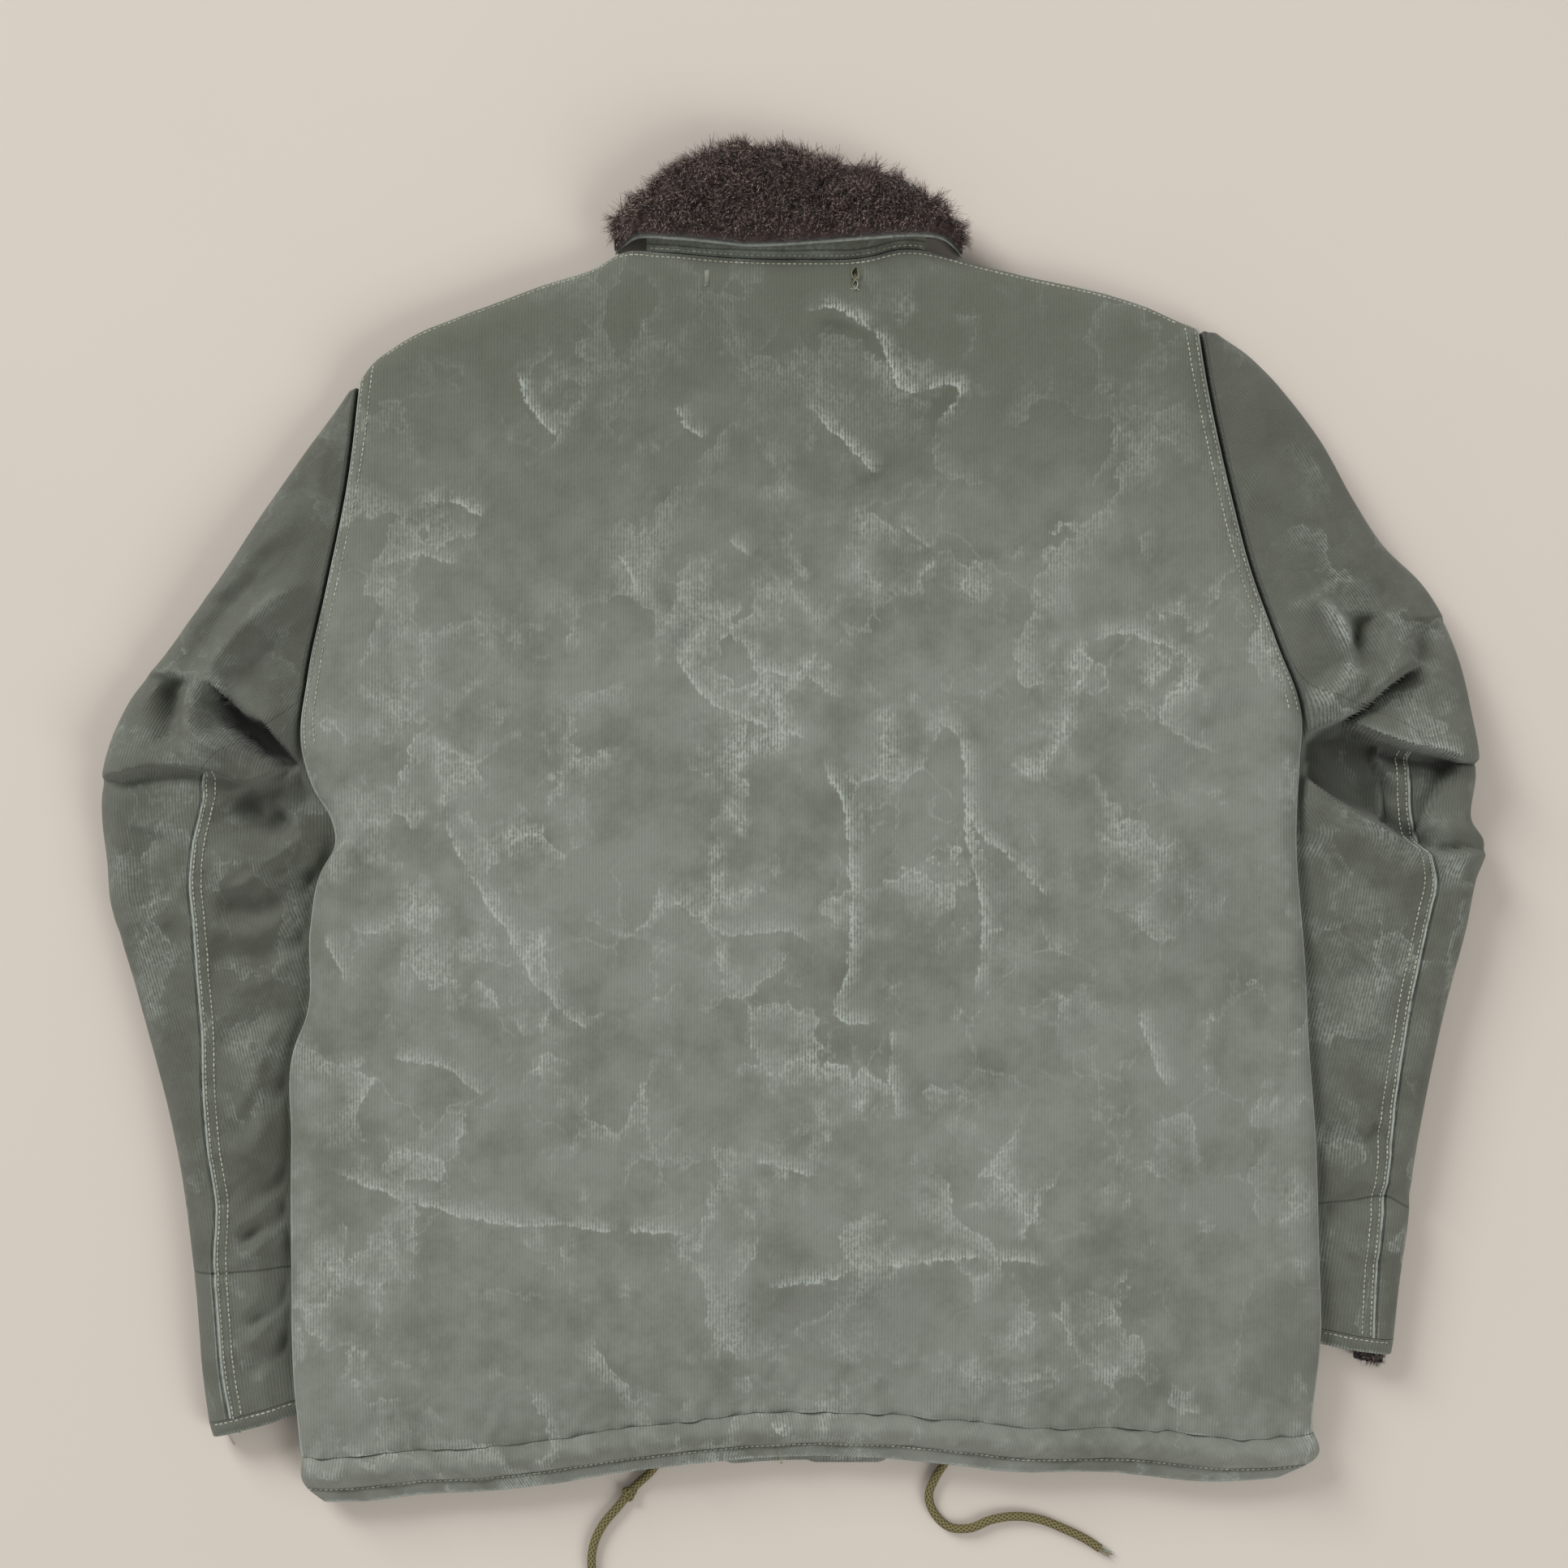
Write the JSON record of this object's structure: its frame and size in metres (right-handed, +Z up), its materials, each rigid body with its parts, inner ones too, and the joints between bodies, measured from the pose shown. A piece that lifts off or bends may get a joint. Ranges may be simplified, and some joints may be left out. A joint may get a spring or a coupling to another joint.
{
  "type": "deck jacket",
  "caption": "Worn pile-lined deck jacket laid face down, sleeves at its sides, collar turned down, hem drawstring ends lying free.",
  "frame": {"origin": "on the surface the jacket lies on, below the middle of its box without the drawstring's ends", "axes": "+Z up out of the surface, +Y towards the collar, +X towards the right sleeve as the back is seen"},
  "size_m": [0.7938, 0.8616, 0.0455],
  "materials": {
    "body_cloth": "ribbed cotton cloth, olive grey, worn pale along its creases",
    "sleeve_cloth": "ribbed cotton cloth, olive grey, a little darker",
    "pile": "dark brown long pile",
    "drawstring": "braided cotton cord, olive khaki"
  },
  "bodies": {
    "root": {"back": "body_cloth", "hem_band_back": "body_cloth", "front_left": "body_cloth", "front_right": "body_cloth", "hem_band_front_left": "body_cloth", "hem_band_front_right": "body_cloth", "front_fly": "body_cloth", "front_zip": "body_cloth", "collar_cloth": "body_cloth", "collar_stand": "body_cloth", "sleeve_top_left": "sleeve_cloth", "sleeve_under_left": "sleeve_cloth", "cuff_left": "sleeve_cloth", "sleeve_top_right": "sleeve_cloth", "sleeve_under_right": "sleeve_cloth", "cuff_right": "sleeve_cloth", "collar_leaf": "pile", "cuff_pile_right": "pile", "cord_left": "drawstring", "cord_right": "drawstring"}
  },
  "joints": []
}
